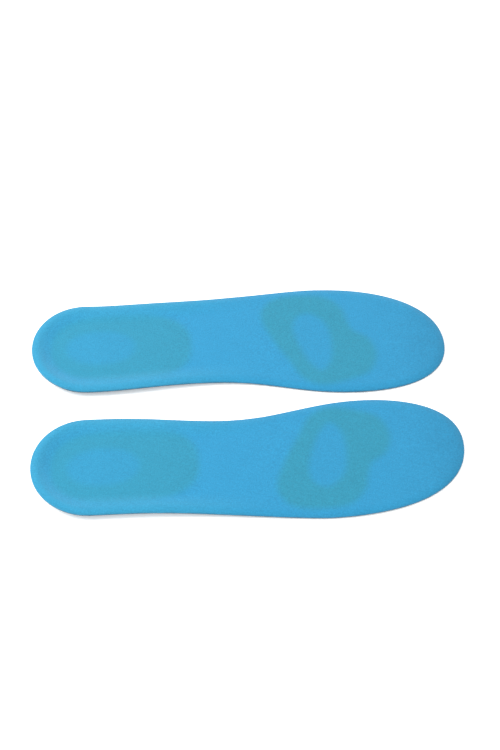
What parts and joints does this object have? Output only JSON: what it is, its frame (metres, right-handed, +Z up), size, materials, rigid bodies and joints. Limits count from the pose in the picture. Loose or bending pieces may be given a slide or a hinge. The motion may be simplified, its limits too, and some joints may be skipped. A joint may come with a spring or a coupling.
{
  "type": "cushioned insole pair",
  "caption": "Full-length left and right shoe insoles: foam base with a shallow heel cup, gel heel ring and gel forefoot pad under a knitted fabric cover.",
  "frame": {"origin": "centre of the pair's box, on the surface the insoles lie on", "axes": "+X towards the toes, +Y from the right insole to the left one, +Z up out of the foot bed"},
  "size_m": [0.2658, 0.1758, 0.0082],
  "materials": {
    "knit_cover": "fine brushed knit, matt",
    "blue_foam": "moulded polyurethane foam, matt skin",
    "green_gel": "soft translucent gel, satin",
    "core_foam": "soft open foam, matt"
  },
  "bodies": {
    "left_rear": {"left_top_cover_rear": "knit_cover", "left_foam_base_rear": "blue_foam", "left_heel_gel_ring": "green_gel", "left_heel_core": "core_foam", "left_forefoot_gel_pad": "green_gel", "left_forefoot_core": "core_foam"},
    "left_toe": {"left_top_cover_toe": "knit_cover", "left_foam_base_toe": "blue_foam"},
    "right_rear": {"right_top_cover_rear": "knit_cover", "right_foam_base_rear": "blue_foam", "right_heel_gel_ring": "green_gel", "right_heel_core": "core_foam", "right_forefoot_gel_pad": "green_gel", "right_forefoot_core": "core_foam"},
    "right_toe": {"right_top_cover_toe": "knit_cover", "right_foam_base_toe": "blue_foam"}
  },
  "joints": [
    {"name": "left_toe_flex", "type": "hinge", "parent": "left_rear", "child": "left_toe", "pos_m": [0.08272, 0.04808, 0.0033], "axis": [0.2786, -0.9604, 0], "range_deg": [0, 45], "stiffness_Nm_per_rad": 0.05},
    {"name": "right_lift", "type": "slide", "parent": "left_rear", "child": "right_rear", "axis": [0, 0, 1], "range_m": [0, 0.12]},
    {"name": "right_toe_flex", "type": "hinge", "parent": "right_rear", "child": "right_toe", "pos_m": [0.0894, -0.04276, 0.0033], "axis": [-0.1578, -0.9875, 0], "range_deg": [0, 45], "stiffness_Nm_per_rad": 0.05}
  ]
}
